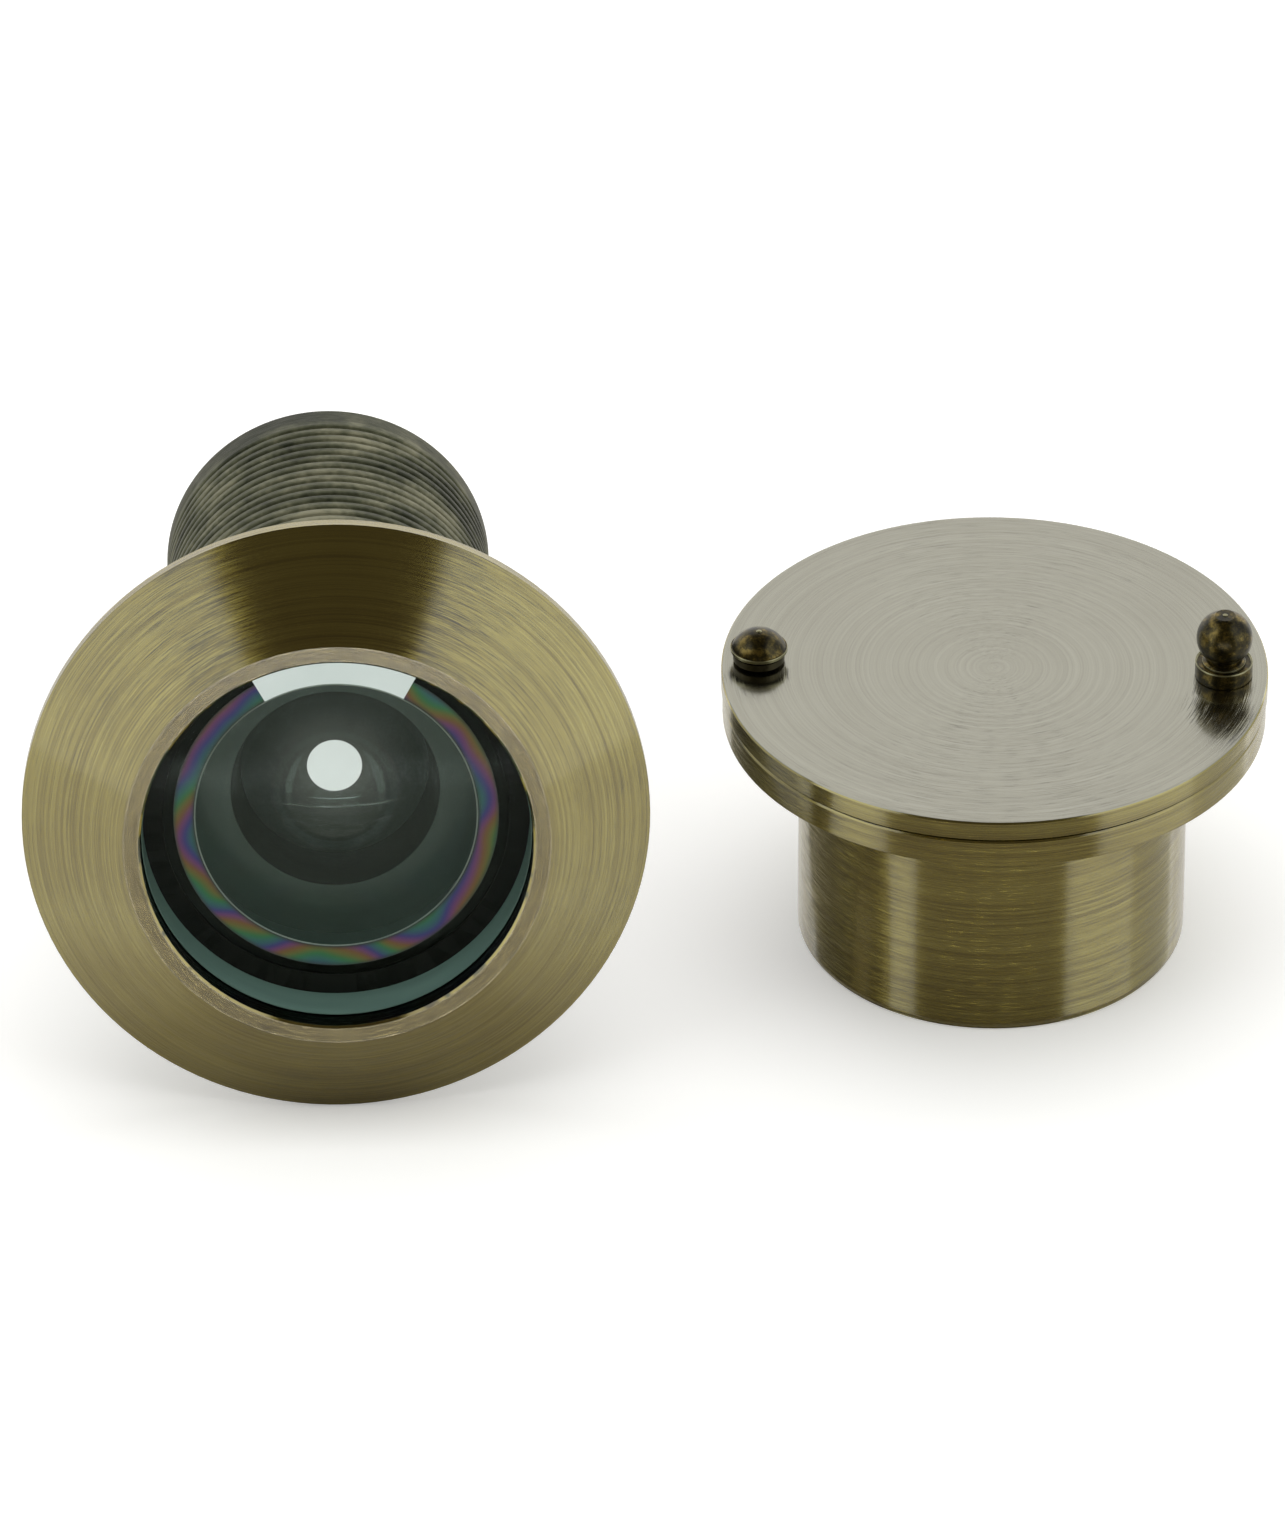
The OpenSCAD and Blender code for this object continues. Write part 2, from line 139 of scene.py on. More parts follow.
class Wire:
    """One output socket with arithmetic. Vectors use Vector Math and numbers use Math."""

    def __init__(self, finish, socket):
        self.finish = finish
        self.socket = socket

    def join(self, operation, *values):
        vector = any(
            isinstance(v, (tuple, Vector)) or (isinstance(v, Wire) and v.socket.type == "VECTOR")
            for v in values
        )
        kind = "ShaderNodeVectorMath" if vector else "ShaderNodeMath"
        return self.finish.node(kind, {"operation": operation}, dict(enumerate(values)))

    def __add__(self, other):
        return self.join("ADD", self, other)

    def __sub__(self, other):
        return self.join("SUBTRACT", self, other)

    def __rsub__(self, other):
        return self.join("SUBTRACT", other, self)

    def __mul__(self, other):
        return self.join("MULTIPLY", self, other)

    __radd__ = __add__
    __rmul__ = __mul__

    def power(self, exponent):
        return self.join("POWER", self, exponent)

    def above(self, edge):
        """1 where the value is above the edge, and 0 elsewhere."""
        return self.join("GREATER_THAN", self, edge)

    def clamped(self):
        return self.join("MINIMUM", self.join("MAXIMUM", self, 0.0), 1.0)

    def dot(self, other):
        return self.join("DOT_PRODUCT", self, other)

    def cross(self, other):
        return self.join("CROSS_PRODUCT", self, other)

    def length(self):
        return self.finish.node("ShaderNodeVectorMath", {"operation": "LENGTH"}, {0: self})

    def unit(self):
        return self.finish.node("ShaderNodeVectorMath", {"operation": "NORMALIZE"}, {0: self})


def socket_of(sockets, key):
    """The socket at an index, or the first one in use with that name."""
    if isinstance(key, int):
        return sockets[key]
    return next(s for s in sockets if s.name == key and s.enabled)


class Finish:
    """A material under construction."""

    def __init__(self, name):
        self.material = bpy.data.materials.new(name)
        self.material.use_nodes = True
        self.tree = self.material.node_tree
        self.tree.nodes.clear()

    def plug(self, socket, value):
        """Links a wire to a socket, or sets the socket to a plain value."""
        if isinstance(value, Wire):
            self.tree.links.new(value.socket, socket)
        elif hasattr(socket.default_value, "__len__"):
            size = len(socket.default_value)
            flat = [value] * 3 if isinstance(value, (int, float)) else list(value)
            socket.default_value = (flat + [1.0] * size)[:size]
        else:
            socket.default_value = value

    def node(self, kind, settings=None, inputs=None, output=None):
        node = self.tree.nodes.new(kind)
        for key, value in (settings or {}).items():
            if key == "stops":
                ramp = node.color_ramp
                while len(ramp.elements) < len(value):
                    ramp.elements.new(0.5)
                for element, (place, colour) in zip(ramp.elements, value):
                    element.position = place
                    element.color = (*colour, 1.0)
            else:
                setattr(node, key, value)
        for key, value in (inputs or {}).items():
            self.plug(socket_of(node.inputs, key), value)
        outputs = [o for o in node.outputs if o.enabled]
        return Wire(self, socket_of(outputs, output) if output else outputs[0])

    def blend(self, share, first, second):
        """A colour that goes from first to second as share goes from 0 to 1."""
        settings = {"data_type": "RGBA"}
        inputs = {"Factor": share, "A": first, "B": second}
        return self.node("ShaderNodeMix", settings, inputs)

    def noise(self, place, detail=2.0, roughness=0.5):
        inputs = {"Vector": place, "Scale": 1.0, "Detail": detail, "Roughness": roughness}
        return self.node("ShaderNodeTexNoise", {"noise_dimensions": "3D"}, inputs)

    def metal(self, **sockets):
        """Ends the finish in a Principled shader; socket names use _ for a space."""
        inputs = {name.replace("_", " "): value for name, value in sockets.items()}
        self.end(self.node("ShaderNodeBsdfPrincipled", None, inputs))
        return self.material

    def end(self, shader):
        output = self.tree.nodes.new("ShaderNodeOutputMaterial")
        self.tree.links.new(shader.socket, output.inputs["Surface"])
        return self.material


print("shader helpers ready")

# %% [markdown]
# ## Turned brass
# The bezel, the sleeve and the cover were faced on a lathe with a fine tool, plated, and
# rubbed back, which is called antique brass. The tool leaves rings. They blur reflections
# across the rings and leave them sharp along the rings, so a window shows as a wedge with
# clean sides. A Bump node blurs both ways. Here the normal itself is rocked across the
# rings by noise that runs round the axis, as the real grooves rock it.

# %% Coordinates round an axis
FINE_RINGS = 26000.0  # finest rings to a metre
TOOL_RINGS = 9000.0   # visible tool marks to a metre
STREAK_RINGS = 2400.0  # broad streaks to a metre
FINE_ROUND = 7.0      # how often the finest grain changes on its way round
TOOL_ROUND = 0.75     # the same for tool marks
STREAK_ROUND = 0.35   # the same for broad streaks


class Turned(Finish):
    """A finish with coordinates round a spindle: distance along it, radius and direction."""

    def __init__(self, name, spindle):
        super().__init__(name)
        self.axis = tuple(spindle.axis)
        place = self.node("ShaderNodeTexCoord", output="Object")
        arm = place - tuple(spindle.centre)
        self.along = arm.dot(self.axis)
        across = arm - self.along * self.axis
        self.radius = across.length()
        self.spoke = across.unit()
        self.path = self.radius - self.along
        self.place = place

    def rings(self, per_metre, round_share, detail=2.0):
        """Noise that changes fast from ring to ring and slowly on its way round."""
        place = (self.path * per_metre) * self.axis + self.spoke * round_share
        return self.noise(place, detail)

    def rocked_normal(self, rock):
        """The surface's normal, tilted across the rings by rock (a slope)."""
        groove = self.spoke.cross(self.axis)
        turn = {"vector_type": "VECTOR", "convert_from": "OBJECT", "convert_to": "WORLD"}
        groove = self.node("ShaderNodeVectorTransform", turn, {"Vector": groove})
        normal = self.node("ShaderNodeNewGeometry", output="Normal")
        return (normal + groove.cross(normal) * rock).unit()


# %% The turned brass itself


def turned_brass(f, smear, arcs=1.0, waver=0.12, masked=None, coat=1.0):
    """Satin antique brass on the finish f. masked is a share and two tones to lay over it."""
    fine = f.rings(FINE_RINGS, FINE_ROUND)
    tool = f.rings(TOOL_RINGS, TOOL_ROUND * arcs, 5.0)
    streak = f.rings(STREAK_RINGS, STREAK_ROUND * arcs, 3.0)
    patina = f.noise(f.place * 110.0, 3.0)
    tone = tool * 0.6 + streak * 0.35 + patina * 0.25 - 0.1
    stops = [(0.40, OLIVE_DARK), (0.50, OLIVE), (0.62, OLIVE_LIGHT)]
    colour = f.node("ShaderNodeValToRGB", {"stops": stops}, {"Fac": tone})
    if masked:
        share, dark, light = masked
        other = f.blend(((tone - 0.38) * 4.0).clamped(), dark, light)
        colour = f.blend(share, colour, other)
    rock = (fine - 0.5) * smear + (tool - 0.5) * waver
    return f.metal(
        Base_Color=colour, Metallic=1.0, Roughness=0.28 - tone.clamped() * 0.16,
        Normal=f.rocked_normal(rock), Coat_Weight=(0.86 + tone * 0.14).clamped() * coat,
        Coat_Roughness=COAT_BLUR, Coat_IOR=COAT_INDEX,
    )


OLIVE_DARK = (0.215, 0.160, 0.024)
OLIVE = (0.32, 0.255, 0.050)
OLIVE_LIGHT = (0.40, 0.335, 0.085)
COAT_BLUR = 0.12
COAT_INDEX = 2.1
LIP_HIGHLIGHT_WIDTH = 0.1 * MM  # width of the painted highlight line at each edge of the bezel's lip

f = Turned("bezel_brass", outside)
pocket = (1 - f.radius.above(glass_r + 0.1 * MM)) * (1 - f.along.above(lip_z - 0.2 * MM))
lip = f.along.above(lip_z - 0.01 * MM)
# The lip is painted a paler, less yellow tone than the cone, which is a painted reflection, and
# each edge of the lip carries a painted highlight line.
lip_in, lip_out = outside.flat_radii("bezel", lip_z)
line = (1 - f.radius.above(lip_in + LIP_HIGHLIGHT_WIDTH)) + f.radius.above(lip_out - LIP_HIGHLIGHT_WIDTH)
lip_sheen_low = f.blend((line * lip).clamped(), (0.235, 0.19, 0.075), (0.32, 0.27, 0.14))
lip_sheen_high = f.blend((line * lip).clamped(), (0.33, 0.275, 0.12), (0.46, 0.40, 0.24))
low_tone = f.blend(pocket, lip_sheen_low, (0.004, 0.005, 0.004))
high_tone = f.blend(pocket, lip_sheen_high, (0.007, 0.009, 0.008))
masked = ((pocket + lip).clamped(), low_tone, high_tone)
bezel_brass = turned_brass(f, 1.6, 1.0, 0.12, masked, 1 - pocket)

sleeve_brass = turned_brass(Turned("sleeve_brass", inside), 1.5)

f = Turned("cover_brass", inside)
# The top face is painted a paler, greyer tone than the side: a painted reflection of the bright
# tent that the top mirrors.
face = f.along.above(cover_top - 0.03 * MM)
masked = (face, (0.31, 0.30, 0.232), (0.37, 0.365, 0.29))
cover_brass = turned_brass(f, 0.9, 0.3, 0.015, masked)
print("turned brass: bezel, sleeve and cover")

# %% [markdown]
# ## Dark plating on the barrel, the knob and the rivet
# The barrel isn't rubbed back, so its plating stays dark and blotchy, with brighter metal
# only where the crests of the thread rub. The knob and the rivet come from a tumbling
# drum, which leaves a brown-black mottle. Both are noise over the whole piece, and the
# crest wear is a mask made from the radius.

# %% Blotchy and mottled brass


def barrel_plating():
    f = Turned("barrel_brass", outside)
    blotch = f.noise(f.place * 150.0, 4.0, 0.6)
    speck = f.noise(f.place * 2400.0, 2.0)
    worn = f.node(
        "ShaderNodeMapRange", None,
        {"Value": f.radius, "From Min": crest_r - 0.45 * MM, "From Max": crest_r},
    )
    stops = [(0.38, (0.026, 0.030, 0.016)), (0.50, (0.098, 0.102, 0.062)),
             (0.62, (0.235, 0.228, 0.150))]
    colour = f.node("ShaderNodeValToRGB", {"stops": stops}, {"Fac": blotch * 0.9 + speck * 0.1})
    colour = f.blend(worn, f.blend(0.6, colour, (0.012, 0.012, 0.007)), colour)
    lead = 1 - f.along.above(barrel_back + 2.2 * MM)
    colour = f.blend(lead * 0.45, colour, (0.024, 0.026, 0.014))
    rock = (f.rings(FINE_RINGS, FINE_ROUND) - 0.5) * 0.7
    return f.metal(
        Base_Color=colour, Metallic=0.4, Roughness=0.34 + blotch * 0.16,
        Specular_IOR_Level=0.12, Normal=f.rocked_normal(rock),
        Coat_Weight=0.02, Coat_Roughness=0.25, Coat_IOR=1.5,
    )


def mottled_brass(name, bands=()):
    """Dark mottled brass, made bright in bands given as (lowest z, highest z): worn edges and
    painted highlights.
    """
    f = Turned(name, inside)
    mottle = f.noise(f.place * 1100.0, 4.0, 0.7)
    stops = [(0.38, (0.014, 0.011, 0.004)), (0.52, (0.066, 0.050, 0.012)),
             (0.66, (0.25, 0.18, 0.045))]
    colour = f.node("ShaderNodeValToRGB", {"stops": stops}, {"Fac": mottle})
    for low, high in bands:
        wear_and_highlight = f.along.above(low) * (1 - f.along.above(high)) * (0.35 + mottle)
        colour = f.blend(wear_and_highlight.clamped(), colour, (0.42, 0.40, 0.24))
    dents = f.node("ShaderNodeBump", None,
                   {"Strength": 0.35, "Distance": 0.05 * MM, "Height": mottle})
    return f.metal(
        Base_Color=colour, Metallic=1.0, Roughness=0.42 - mottle * 0.16, Normal=dents,
        Coat_Weight=0.5, Coat_Roughness=0.25,
    )


barrel_brass = barrel_plating()
knob_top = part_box("knob")[1].z
rivet_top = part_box("pivot_rivet")[1].z
COLLAR_HEIGHT = 1.2 * MM  # the knob's collar above the cover
collar_top = cover_top + COLLAR_HEIGHT
# The knob's bands: the worn top edge of its collar, and a bright dot at the tip of its pip.
knob_brass = mottled_brass("dark_brass", [(collar_top - 0.1 * MM, collar_top + 0.01 * MM),
                                          (knob_top - 0.03 * MM, knob_top + 0.1 * MM)])
# The rivet's bands are painted highlights: a bright line round the edge of its head and a bright
# dot on its pip.
rivet_brass = mottled_brass("rivet_brass", [(rivet_top - 1.55 * MM, rivet_top - 1.27 * MM),
                                            (rivet_top - 0.04 * MM, rivet_top + 0.1 * MM)])
print("dark plating: barrel, knob and rivet")

# %% [markdown]
# ## Plain finishes: blacked metal, rubber and spring steel
# Inside the barrel everything is blacked so that stray light dies. Even matt black has a
# little grain and sheen, so each of these keeps some noise in its roughness and surface.

# %% Blacked metal, rubber and steel


def grained(name, colour, spread, scale, roughness, metallic):
    """A plain finish with fine grain in its colour, gloss and surface."""
    f = Finish(name)
    place = f.node("ShaderNodeTexCoord", output="Object")
    grain = f.noise(place * scale, 3.0, 0.6)
    tone = f.blend(grain, tuple(c * (1 - spread) for c in colour),
                   tuple(c * (1 + spread) for c in colour))
    bump = f.node("ShaderNodeBump", None,
                  {"Strength": 0.3, "Distance": 0.03 * MM, "Height": grain})
    return f.metal(Base_Color=tone, Metallic=metallic, Normal=bump,
                   Roughness=roughness + grain * 0.15, Specular_IOR_Level=0.3)


black_metal = grained("black_metal", (0.006, 0.007, 0.006), 0.4, 3000.0, 0.6, 0.0)
rubber = grained("gasket_rubber", (0.022, 0.022, 0.021), 0.35, 5200.0, 0.62, 0.0)
spring_steel = grained("spring_steel", (0.085, 0.075, 0.045), 0.3, 2600.0, 0.3, 1.0)
print("plain finishes: blacked metal, rubber, spring steel")

# %% [markdown]
# ## Glass
# The lenses are seen from close by, and what matters is what they reflect and what shows
# behind them. A shader that bends light would need the whole optical path to be exact, so
# the glass here lets light straight through with a faint green tint, and adds a mirror
# that grows towards grazing angles as polished glass does.

# %% Clear glass


def clear_glass(name, tint, least, most, squeeze=1.0):
    """squeeze above 1 draws reflections to the middle, as glass in front of them does."""
    f = Turned(name, outside)
    facing = f.node("ShaderNodeLayerWeight", None, {"Blend": 0.5}, output="Facing")
    haze = f.noise(f.place * 300.0, 3.0)
    share = least + facing.power(5.0) * most + (haze - 0.5) * (least * 0.6)
    turn = {"vector_type": "VECTOR", "convert_from": "OBJECT", "convert_to": "WORLD"}
    axis = f.node("ShaderNodeVectorTransform", turn, {"Vector": f.axis})
    normal = f.node("ShaderNodeNewGeometry", output="Normal")
    normal = (normal * squeeze - axis * (normal.dot(axis) * (squeeze - 1.0))).unit()
    through = f.node("ShaderNodeBsdfTransparent", None, {"Color": tint})
    mirror = f.node("ShaderNodeBsdfAnisotropic", None,
                    {"Color": (0.85, 1.0, 0.95), "Roughness": 0.01, "Normal": normal})
    return f.end(f.node("ShaderNodeMixShader", None,
                        {0: share.clamped(), 1: through, 2: mirror}))


front_glass = clear_glass("front_glass", (0.97, 0.985, 0.98), 0.008, 0.35)
inner_glass = clear_glass("inner_glass", (0.95, 0.97, 0.96), 0.036, 0.35, 1.25)
print("glass: outside lens and inner lenses")

# %% [markdown]
# ## Giving each design piece its finish
# The design pieces keep their shapes. The pieces turned below are shaded smooth up to a corner
# of 30 degrees, so a bevel stays crisp and a turned side looks round.

# %% Assign finishes to the design's pieces
FINISH_OF = {
    "bezel": bezel_brass, "bezel_gasket": rubber, "barrel": barrel_brass,
    "front_seal": black_metal, "front_lens": front_glass, "second_lens": inner_glass,
    "lens_seat_ring": black_metal, "front_spacer": black_metal, "stop_plate": black_metal,
    "third_lens": inner_glass, "rear_spacer": black_metal, "eyepiece_lens": inner_glass,
    "retaining_ring": barrel_brass, "sleeve": sleeve_brass, "flange_gasket": rubber,
    "pivot_shim": spring_steel, "pivot_rivet": rivet_brass, "pivot_springs": spring_steel,
    "cover": cover_brass, "knob": knob_brass,
}
for name, material in FINISH_OF.items():
    parts[name].data.materials.clear()
    parts[name].data.materials.append(material)
print(f"{len(FINISH_OF)} design pieces have their finish")

# %% [markdown]
# ## Turning new pieces on a lathe
# A lathe takes an outline and turns it round the spindle. The helper here does the same:
# each point of the outline becomes a ring, and neighbouring rings are joined by faces.
# Points on the axis become one vertex, so a dome closes without a hole.

# %% The lathe
STEPS = 144  # faces round a turned piece
CORNER = math.radians(30)


def finish_piece(name, bm, material, body, matrix):
    """Turns a bmesh into a shown piece in its place, riding on its body."""
    bmesh.ops.recalc_face_normals(bm, faces=bm.faces)
    mesh = bpy.data.meshes.new(name)
    bm.to_mesh(mesh)
    bm.free()
    mesh.transform(matrix)
    mesh.materials.append(material)
    mesh.shade_smooth()
    mesh.set_sharp_from_angle(angle=CORNER)
    piece = bpy.data.objects.new(name, mesh)
    bpy.context.scene.collection.objects.link(piece)
    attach(piece, body)
    print(f"{name}: {len(mesh.polygons)} faces, rides on {body}")
    return piece


def turn_outline(bm, outline, closed, steps=STEPS, start=0.0, sweep=math.tau):
    """Adds the faces of an outline of (radius, height) points turned round the axis."""
    whole = sweep == math.tau
    columns = steps if whole else steps + 1
    rings = []
    for radius, height in outline:
        if radius == 0:
            rings.append([bm.verts.new((0, 0, height))] * columns)
            continue
        angles = [start + sweep * i / steps for i in range(columns)]
        rings.append([bm.verts.new((radius * math.cos(a), radius * math.sin(a), height))
                      for a in angles])
    pairs = list(zip(rings, rings[1:]))
    if closed:
        pairs.append((rings[-1], rings[0]))
    for low, high in pairs:
        for i in range(steps):
            j = (i + 1) % columns
            corners = list(dict.fromkeys((low[i], low[j], high[j], high[i])))
            if len(corners) > 2:
                bm.faces.new(corners)
    return rings


def arc(centre_r, centre_z, radius, first, last, count):
    """Points of a round stretch of an outline, with angles in degrees."""
    angles = [math.radians(first + (last - first) * i / count) for i in range(count + 1)]
    return [(centre_r + radius * math.cos(a), centre_z + radius * math.sin(a)) for a in angles]


print("lathe ready")

# %% [markdown]
# ## The barrel's thread
# The design shows the thread as separate rings. A real one is a single groove that climbs
# as it goes round. One ribbon of points, wound up the barrel, gives that: each turn's last
# point is the next turn's first. The groove fades out at both ends, as it does where a
# thread cutter runs out, and the plain end, the bore and the bevels are turned as usual.

# %% Cut the thread
PITCH = 1.3 * MM
THREAD_DEPTH = 0.42 * MM
GROOVE_SHARE = 0.27  # half the groove's width as a share of the pitch
POINTS = 10          # points across one turn
LEAD = 2.4 * MM       # smooth length before the thread begins
BARREL_BEVEL = 0.3 * MM
RUN_OUT = 0.7 * PITCH  # length over which the groove fades at each end
INSET = 0.002 * MM   # keeps this finer mesh within the design's own, coarser one


def groove_depth(share):
    """Depth of the thread at a place across one turn, from 0 on the crest to 1."""
    off = abs(share - 0.5)
    crest = 0.08 * (off / 0.5 - 1) ** 2
    if off < GROOVE_SHARE:
        return max(crest, 0.5 + 0.5 * math.cos(math.pi * off / GROOVE_SHARE))
    return crest * 0.4


def threaded_barrel():
    outer_r = crest_r - INSET
    back_z = barrel_back + INSET
    low = back_z + LEAD
    high = hub_back
    turns = math.ceil((high - low) / PITCH) + 1
    bm = bmesh.new()
    ribbon = []
    for step in range((turns + 1) * STEPS + 1):
        angle = math.tau * step / STEPS
        base = low - PITCH + PITCH * step / STEPS
        row = []
        for k in range(POINTS):
            z = min(max(base + PITCH * k / POINTS, low), high)
            fade = min(1.0, (z - low) / RUN_OUT, (high - z) / RUN_OUT)
            radius = outer_r - THREAD_DEPTH * max(fade, 0) * groove_depth(k / POINTS)
            row.append(bm.verts.new((radius * math.cos(angle), radius * math.sin(angle), z)))
        ribbon.append(row)
    for step in range(len(ribbon) - 1):
        here, there = ribbon[step], ribbon[step + 1]
        nexts = []
        if step + 1 + STEPS < len(ribbon):
            nexts = [(here[-1], there[-1], ribbon[step + 1 + STEPS][0], ribbon[step + STEPS][0])]
        for k in range(POINTS - 1):
            nexts.append((here[k], there[k], there[k + 1], here[k + 1]))
        for corners in nexts:
            bm.faces.new(corners)
    outline = [(outer_r, low), (outer_r, back_z + BARREL_BEVEL),
               (outer_r - BARREL_BEVEL, back_z), (barrel_bore_r, back_z),
               (barrel_bore_r, barrel_front), (outer_r, barrel_front), (outer_r, high)]
    turn_outline(bm, outline, closed=False)
    bmesh.ops.remove_doubles(bm, verts=bm.verts, dist=0.002 * MM)
    return bm


barrel = finish_piece("threaded_barrel", threaded_barrel(), barrel_brass, "outside_half",
                      outside.matrix)
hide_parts("barrel")

# %% [markdown]
# ## The sleeve's thread
# The barrel screws into the sleeve, so the sleeve's bore has the matching ridge. It is one
# long ridge of four points, wound up the bore and tapered to nothing at both ends.

# %% Wind the ridge in the sleeve
RIDGE_TURNS = 10
RIDGE_HEIGHT = 0.5 * MM
RIDGE_START = 1.6 * MM
RIDGE_FEET = (0.42 * MM, 0.12 * MM)  # half widths of the ridge at its foot and at its top


def sleeve_ridge():
    bm = bmesh.new()
    total = RIDGE_TURNS * STEPS
    foot, top = RIDGE_FEET
    rows = []
    for step in range(total + 1):
        angle = math.tau * step / STEPS
        z = RIDGE_START + PITCH * step / STEPS
        rise = max(min(1.0, 6 * step / STEPS, 6 * (total - step) / STEPS), 0.02)
        inner = sleeve_bore_r - RIDGE_HEIGHT * rise
        shape = [(sleeve_bore_r, z - foot), (inner, z - top), (inner, z + top),
                 (sleeve_bore_r, z + foot)]
        rows.append([bm.verts.new((r * math.cos(angle), r * math.sin(angle), h))
                     for r, h in shape])
    for here, there in zip(rows, rows[1:]):
        for k in range(4):
            bm.faces.new((here[k], there[k], there[(k + 1) % 4], here[(k + 1) % 4]))
    bm.faces.new(rows[0])
    bm.faces.new(reversed(rows[-1]))
    return bm


finish_piece("sleeve_thread", sleeve_ridge(), sleeve_brass, "inside_half",
             inside.matrix)

# %% [markdown]
# ## The rivet and the knob
# Both are small turned studs. The rivet's head is a low dome with a thin straight edge and
# the pip that the forming tool leaves. The knob is a ball on a neck, on a collar of two
# steps, with the flat end where it was parted from the bar. Their places are measured.

# %% Turn the rivet's head and the knob


def stud_place(name):
    low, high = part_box(name)
    return Matrix.Translation(((low.x + high.x) / 2, (low.y + high.y) / 2, 0)), high.z


def dome(edge_r, height, base_z, end_r, count):
    """Outline of a low dome from its edge in to end_r."""
    ball = (edge_r ** 2 + height ** 2) / (2 * height)
    first = math.degrees(math.acos(edge_r / ball))
    last = math.degrees(math.acos(end_r / ball))
    return arc(0, base_z + height - ball, ball, first, last, count)


def rivet():
    place, top_z = stud_place("pivot_rivet")
    head_r, dome_h, edge_h, shank_r = 2.0 * MM, 1.25 * MM, 0.3 * MM, 1.0 * MM
    under = top_z - dome_h - edge_h
    soft = 0.06 * MM
    pip_r = 0.22 * MM
    bm = bmesh.new()
    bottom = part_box("pivot_rivet")[0].z
    outline = [(0, bottom), (shank_r, bottom), (shank_r, under), (head_r - soft, under),
               (head_r, under + soft), (head_r, under + edge_h - soft),
               (head_r - soft, under + edge_h)]
    outline += dome(head_r - 2 * soft, dome_h - soft, under + edge_h, pip_r, 22)
    outline += [(pip_r * 0.8, top_z - 0.03 * MM), (pip_r * 0.4, top_z), (0, top_z)]
    turn_outline(bm, outline, closed=False, steps=96)
    piece = finish_piece("rivet_head", bm, rivet_brass, "inside_half", place)
    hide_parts("pivot_rivet")


def knob():
    place, top_z = stud_place("knob")
    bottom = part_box("knob")[0].z
    ball_r, collar_r, shank_r, neck_r = 1.95 * MM, 2.0 * MM, 1.0 * MM, 1.3 * MM
    tip_r, tip_h = 0.78 * MM, 0.12 * MM
    ball_z = top_z - tip_h - math.sqrt(ball_r ** 2 - tip_r ** 2)
    soft = 0.08 * MM
    collar_z = collar_top
    neck_angle = math.degrees(math.acos(neck_r / ball_r))
    tip_angle = math.degrees(math.acos(tip_r / ball_r))
    outline = [(0, bottom), (shank_r, bottom), (shank_r, cover_top),
               (collar_r - soft, cover_top), (collar_r, cover_top + soft),
               (collar_r, collar_z - soft / 2), (collar_r - soft / 2, collar_z),
               (collar_r - 2.5 * soft, collar_z - 2 * soft),
               (neck_r + 3 * soft, collar_z - 2 * soft), (neck_r + 2.5 * soft, collar_z),
               (neck_r + soft, collar_z + soft), (neck_r, collar_z + 1.5 * soft)]
    outline += arc(0, ball_z, ball_r, -neck_angle, tip_angle, 40)
    outline += [(tip_r - 0.02 * MM, top_z - 0.09 * MM), (tip_r - 0.07 * MM, top_z - 0.06 * MM),
                (tip_r * 0.28, top_z - 0.06 * MM), (tip_r * 0.18, top_z), (0, top_z)]
    bm = bmesh.new()
    turn_outline(bm, outline, closed=False, steps=96)
    piece = finish_piece("ball_knob", bm, knob_brass, "cover", place)
    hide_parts("knob")


rivet()
knob()

# %% [markdown]
# ## What shows through the outside lens
# Looking in past the lip there are, from the rim inwards: the ground edge of the glass,
# which shows dark teal; the black seal; a ring of rainbow colours where the two lenses
# press together and trap a film of air; the edge of the hollow; the frosted back of the
# second lens; and deep inside a small bright disc, the far end of the barrel made tiny by
# the lenses. The glass here doesn't bend light, so that disc is a piece of its own, set at
# the depth where the lenses would show it.

# %% Colours behind the glass


def tinted_edge(name, dark, light):
    """Ground glass: dark teal, lighter where more light falls on it. The same finish in light
    teal grey makes the painted highlight lines at the hollow's edge.
    """
    f = Turned(name, outside)
    cloud = f.rings(700.0, 1.5)
    colour = f.blend(cloud, dark, light)
    return f.metal(Base_Color=colour, Roughness=0.35 + cloud * 0.1, Coat_Weight=0.5,
                   Coat_Roughness=0.1)


def rainbow_film():
    """A film of air between two lenses: colours that follow its thickness, emitted as a painted
    reflection.
    """
    f = Turned("rainbow_film", outside)
    drift = f.noise(f.spoke * 0.85 + outside.up * 0.7, 1.5)
    across = (f.radius - film_inner) * (1.0 / (film_outer - film_inner))
    thick = f.node("ShaderNodeMath", {"operation": "FRACT"},
                   {0: across * 0.55 + drift * 9.0})
    stops = [(0.0, (0.020, 0.085, 0.105)), (0.14, (0.030, 0.028, 0.150)),
             (0.30, (0.125, 0.035, 0.115)), (0.46, (0.150, 0.070, 0.020)),
             (0.60, (0.110, 0.115, 0.020)), (0.76, (0.020, 0.140, 0.045)),
             (0.88, (0.020, 0.115, 0.085)), (1.0, (0.020, 0.085, 0.105))]
    rainbow = f.node("ShaderNodeValToRGB", {"stops": stops}, {"Fac": thick})
    edge = (6 * across * (1 - across)).clamped()
    colour = f.blend(edge, (0.022, 0.032, 0.026), rainbow)
    return f.metal(Base_Color=(0.01, 0.01, 0.01), Roughness=0.4,
                   Emission_Color=colour, Emission_Strength=0.65)


def white_glare():
    """Where the film mirrors the bright wall behind the camera."""
    f = Turned("white_glare", outside)
    cloud = f.noise(f.place * 300.0, 3.0)
    colour = f.blend(cloud, (0.50, 0.57, 0.54), (0.60, 0.66, 0.63))
    return f.metal(Base_Color=(0.1, 0.1, 0.1), Roughness=0.4,
                   Emission_Color=colour, Emission_Strength=1.0)


